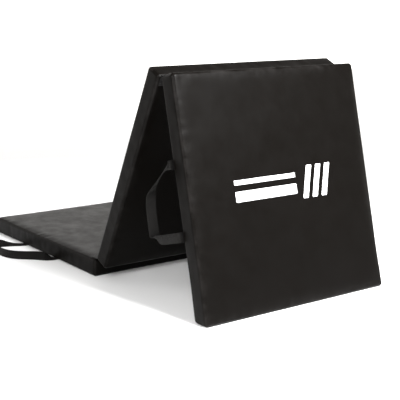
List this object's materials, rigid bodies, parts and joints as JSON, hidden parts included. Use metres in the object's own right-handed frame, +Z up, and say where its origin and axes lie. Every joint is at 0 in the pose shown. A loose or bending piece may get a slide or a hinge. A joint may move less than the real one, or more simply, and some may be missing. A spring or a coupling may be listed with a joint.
{
  "type": "folding exercise mat",
  "caption": "Folding exercise mat: boxed foam panels joined by fabric hinges, standing half folded as a tent, with webbing carry handles along one side.",
  "frame": {"origin": "centre of the base panel's underside, on the floor", "axes": "+X from the base panel towards the two panels that stand as a tent, +Z up, -Y the side with the handles"},
  "size_m": [1.1048, 0.7158, 0.5973],
  "materials": {
    "cover": "satin black coated fabric with a fine leather grain",
    "hinge_fabric": "satin black coated fabric, folded and stitched",
    "webbing": "woven black webbing",
    "foam": "closed-cell foam",
    "print": "matt white printed film"
  },
  "bodies": {
    "base_panel": {"base_foam": "foam", "base_bottom_sheet": "cover", "base_top_sheet": "cover", "base_near_band": "cover", "base_far_band": "cover", "base_outer_band": "cover", "base_fold_band": "cover", "fold_hinge_base_leaf": "hinge_fabric", "base_handle_ends": "webbing"},
    "middle_panel": {"middle_foam": "foam", "middle_bottom_sheet": "cover", "middle_top_sheet": "cover", "middle_near_band": "cover", "middle_far_band": "cover", "middle_fold_band": "cover", "middle_ridge_band": "cover", "fold_hinge_middle_leaf": "hinge_fabric", "ridge_hinge_middle_leaf": "hinge_fabric"},
    "front_panel": {"front_foam": "foam", "front_bottom_sheet": "cover", "front_top_sheet": "cover", "front_near_band": "cover", "front_far_band": "cover", "front_ridge_band": "cover", "front_foot_band": "cover", "ridge_hinge_front_leaf": "hinge_fabric", "front_handle_ends": "webbing", "front_print": "print"},
    "base_handle": {"base_handle_loop": "webbing"},
    "front_handle": {"front_handle_loop": "webbing"}
  },
  "joints": [
    {"name": "fold_hinge", "type": "hinge", "parent": "base_panel", "child": "middle_panel", "pos_m": [0.303, 0, 0.052], "axis": [0, -1, 0], "range_deg": [-65.5, 114.5]},
    {"name": "ridge_hinge", "type": "hinge", "parent": "middle_panel", "child": "front_panel", "pos_m": [0.60344, 0, 0.58104], "axis": [0, 1, 0], "range_deg": [-140.82, 39.18]},
    {"name": "base_handle_swing", "type": "hinge", "parent": "base_panel", "child": "base_handle", "pos_m": [0, -0.3405, 0.013], "axis": [-1, 0, 0], "range_deg": [0, 90]},
    {"name": "front_handle_swing", "type": "hinge", "parent": "front_panel", "child": "front_handle", "pos_m": [0.60634, -0.3132, 0.5818], "axis": [-0.2534, 0, 0.9674], "range_deg": [0, 175]}
  ]
}
